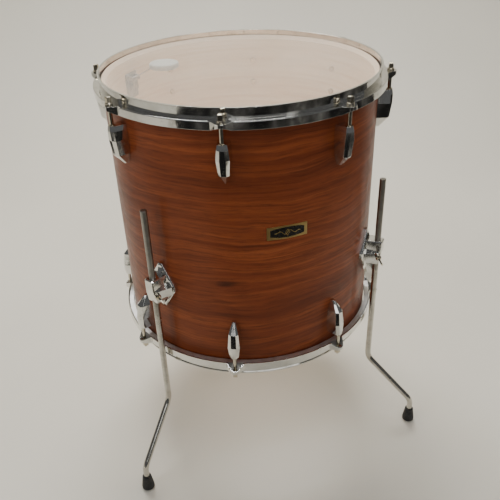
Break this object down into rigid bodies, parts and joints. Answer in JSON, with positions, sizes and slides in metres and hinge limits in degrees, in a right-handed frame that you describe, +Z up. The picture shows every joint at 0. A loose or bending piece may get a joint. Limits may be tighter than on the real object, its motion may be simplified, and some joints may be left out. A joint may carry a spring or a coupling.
{
  "type": "floor tom drum",
  "caption": "Wood-shell floor tom with clear heads, pressed hoops with key rods and faceted lugs, standing on sliding bent legs clamped in cast brackets by wing bolts.",
  "frame": {"origin": "on the floor under the middle of the whole object's box; the drum's own axis is vertical at x = 0, y = -0.050 m", "axes": "+Z up along the drum's axis, -Y towards the badge, +X to the right as seen from the badge's side"},
  "size_m": [0.497, 0.5315, 0.628],
  "materials": {
    "shell_wood": "satin-gloss lacquer over brown veneer with fine grain round the drum",
    "chrome": "polished plating with light scuffs",
    "rod_chrome": "plated steel rod, dulled by handling",
    "clear_film": "clear, slightly hazy drum film",
    "ring_aluminium": "drawn aluminium channel",
    "aged_nickel": "nickel plating yellowed with age",
    "spring_steel": "dull spring steel",
    "badge_enamel": "black enamel in a gold frame",
    "foot_rubber": "matt black rubber",
    "felt": "pale grey pressed felt"
  },
  "bodies": {
    "drum": {"shell": "shell_wood", "top_hoop": "chrome", "bottom_hoop": "chrome", "top_head": "clear_film", "bottom_head": "clear_film", "top_head_ring": "ring_aluminium", "bottom_head_ring": "ring_aluminium", "tension_washers": "aged_nickel", "swivel_nuts": "aged_nickel", "lug_springs": "spring_steel", "mounting_screws": "aged_nickel", "badge": "badge_enamel", "muffler_base": "spring_steel", "lug_top_1": "chrome", "lug_top_2": "chrome", "lug_top_3": "chrome", "lug_top_4": "chrome", "lug_top_5": "chrome", "lug_top_6": "chrome", "lug_top_7": "chrome", "lug_top_8": "chrome", "lug_bottom_1": "chrome", "lug_bottom_2": "chrome", "lug_bottom_3": "chrome", "lug_bottom_4": "chrome", "lug_bottom_5": "chrome", "lug_bottom_6": "chrome", "lug_bottom_7": "chrome", "lug_bottom_8": "chrome", "leg_bracket_left": "chrome", "leg_bracket_right": "chrome", "leg_bracket_back": "chrome"},
    "tension_rod_top_1": {"tension_rod_top_1": "aged_nickel"},
    "tension_rod_top_2": {"tension_rod_top_2": "aged_nickel"},
    "tension_rod_top_3": {"tension_rod_top_3": "aged_nickel"},
    "tension_rod_top_4": {"tension_rod_top_4": "aged_nickel"},
    "tension_rod_top_5": {"tension_rod_top_5": "aged_nickel"},
    "tension_rod_top_6": {"tension_rod_top_6": "aged_nickel"},
    "tension_rod_top_7": {"tension_rod_top_7": "aged_nickel"},
    "tension_rod_top_8": {"tension_rod_top_8": "aged_nickel"},
    "tension_rod_bottom_1": {"tension_rod_bottom_1": "aged_nickel"},
    "tension_rod_bottom_2": {"tension_rod_bottom_2": "aged_nickel"},
    "tension_rod_bottom_3": {"tension_rod_bottom_3": "aged_nickel"},
    "tension_rod_bottom_4": {"tension_rod_bottom_4": "aged_nickel"},
    "tension_rod_bottom_5": {"tension_rod_bottom_5": "aged_nickel"},
    "tension_rod_bottom_6": {"tension_rod_bottom_6": "aged_nickel"},
    "tension_rod_bottom_7": {"tension_rod_bottom_7": "aged_nickel"},
    "tension_rod_bottom_8": {"tension_rod_bottom_8": "aged_nickel"},
    "wing_bolt_left": {"wing_bolt_left": "aged_nickel"},
    "leg_left": {"leg_left": "rod_chrome", "foot_left": "foot_rubber"},
    "wing_bolt_right": {"wing_bolt_right": "aged_nickel"},
    "leg_right": {"leg_right": "rod_chrome", "foot_right": "foot_rubber"},
    "wing_bolt_back": {"wing_bolt_back": "aged_nickel"},
    "leg_back": {"leg_back": "rod_chrome", "foot_back": "foot_rubber"},
    "muffler_knob": {"muffler_knob": "chrome"},
    "muffler_arm": {"muffler_arm": "spring_steel", "muffler_pad": "felt"}
  },
  "joints": [
    {"name": "turn_tension_rod_top_1", "type": "hinge", "parent": "drum", "child": "tension_rod_top_1", "pos_m": [0.20261, 0.03392, 0.6135], "axis": [0, 0, 1], "continuous": true},
    {"name": "turn_tension_rod_top_2", "type": "hinge", "parent": "drum", "child": "tension_rod_top_2", "pos_m": [0.08392, 0.15261, 0.6135], "axis": [0, 0, 1], "continuous": true},
    {"name": "turn_tension_rod_top_3", "type": "hinge", "parent": "drum", "child": "tension_rod_top_3", "pos_m": [-0.08392, 0.15261, 0.6135], "axis": [0, 0, 1], "continuous": true},
    {"name": "turn_tension_rod_top_4", "type": "hinge", "parent": "drum", "child": "tension_rod_top_4", "pos_m": [-0.20261, 0.03392, 0.6135], "axis": [0, 0, 1], "continuous": true},
    {"name": "turn_tension_rod_top_5", "type": "hinge", "parent": "drum", "child": "tension_rod_top_5", "pos_m": [-0.20261, -0.13392, 0.6135], "axis": [0, 0, 1], "continuous": true},
    {"name": "turn_tension_rod_top_6", "type": "hinge", "parent": "drum", "child": "tension_rod_top_6", "pos_m": [-0.08392, -0.25261, 0.6135], "axis": [0, 0, 1], "continuous": true},
    {"name": "turn_tension_rod_top_7", "type": "hinge", "parent": "drum", "child": "tension_rod_top_7", "pos_m": [0.08392, -0.25261, 0.6135], "axis": [0, 0, 1], "continuous": true},
    {"name": "turn_tension_rod_top_8", "type": "hinge", "parent": "drum", "child": "tension_rod_top_8", "pos_m": [0.20261, -0.13392, 0.6135], "axis": [0, 0, 1], "continuous": true},
    {"name": "turn_tension_rod_bottom_1", "type": "hinge", "parent": "drum", "child": "tension_rod_bottom_1", "pos_m": [0.20261, 0.03392, 0.2209], "axis": [0, 0, -1], "continuous": true},
    {"name": "turn_tension_rod_bottom_2", "type": "hinge", "parent": "drum", "child": "tension_rod_bottom_2", "pos_m": [0.08392, 0.15261, 0.2209], "axis": [0, 0, -1], "continuous": true},
    {"name": "turn_tension_rod_bottom_3", "type": "hinge", "parent": "drum", "child": "tension_rod_bottom_3", "pos_m": [-0.08392, 0.15261, 0.2209], "axis": [0, 0, -1], "continuous": true},
    {"name": "turn_tension_rod_bottom_4", "type": "hinge", "parent": "drum", "child": "tension_rod_bottom_4", "pos_m": [-0.20261, 0.03392, 0.2209], "axis": [0, 0, -1], "continuous": true},
    {"name": "turn_tension_rod_bottom_5", "type": "hinge", "parent": "drum", "child": "tension_rod_bottom_5", "pos_m": [-0.20261, -0.13392, 0.2209], "axis": [0, 0, -1], "continuous": true},
    {"name": "turn_tension_rod_bottom_6", "type": "hinge", "parent": "drum", "child": "tension_rod_bottom_6", "pos_m": [-0.08392, -0.25261, 0.2209], "axis": [0, 0, -1], "continuous": true},
    {"name": "turn_tension_rod_bottom_7", "type": "hinge", "parent": "drum", "child": "tension_rod_bottom_7", "pos_m": [0.08392, -0.25261, 0.2209], "axis": [0, 0, -1], "continuous": true},
    {"name": "turn_tension_rod_bottom_8", "type": "hinge", "parent": "drum", "child": "tension_rod_bottom_8", "pos_m": [0.20261, -0.13392, 0.2209], "axis": [0, 0, -1], "continuous": true},
    {"name": "turn_wing_bolt_left", "type": "hinge", "parent": "drum", "child": "wing_bolt_left", "pos_m": [-0.18168, -0.18103, 0.343], "axis": [0.2045, -0.9789, 0], "range_deg": [0, 630]},
    {"name": "slide_leg_left", "type": "slide", "parent": "drum", "child": "leg_left", "axis": [0, 0, 1], "range_m": [-0.095, 0.175]},
    {"name": "turn_wing_bolt_right", "type": "hinge", "parent": "drum", "child": "wing_bolt_right", "pos_m": [0.17159, -0.19398, 0.343], "axis": [-0.2756, -0.9613, 0], "range_deg": [0, 630]},
    {"name": "slide_leg_right", "type": "slide", "parent": "drum", "child": "leg_right", "axis": [0, 0, 1], "range_m": [-0.095, 0.175]},
    {"name": "turn_wing_bolt_back", "type": "hinge", "parent": "drum", "child": "wing_bolt_back", "pos_m": [0, 0.174, 0.343], "axis": [-0.9135, 0.4067, 0], "range_deg": [0, 630]},
    {"name": "slide_leg_back", "type": "slide", "parent": "drum", "child": "leg_back", "axis": [0, 0, 1], "range_m": [-0.095, 0.175]},
    {"name": "turn_muffler_knob", "type": "hinge", "parent": "drum", "child": "muffler_knob", "pos_m": [-0.15321, 0.07856, 0.575], "axis": [-0.766, 0.6428, 0], "range_deg": [-420, 0]},
    {"name": "lift_muffler", "type": "hinge", "parent": "drum", "child": "muffler_arm", "pos_m": [-0.14325, 0.0702, 0.587], "axis": [-0.6428, -0.766, 0], "range_deg": [0, 2.1]}
  ],
  "couplings": [
    {"joint": "lift_muffler", "follows": "turn_muffler_knob", "ratio": -0.005}
  ]
}
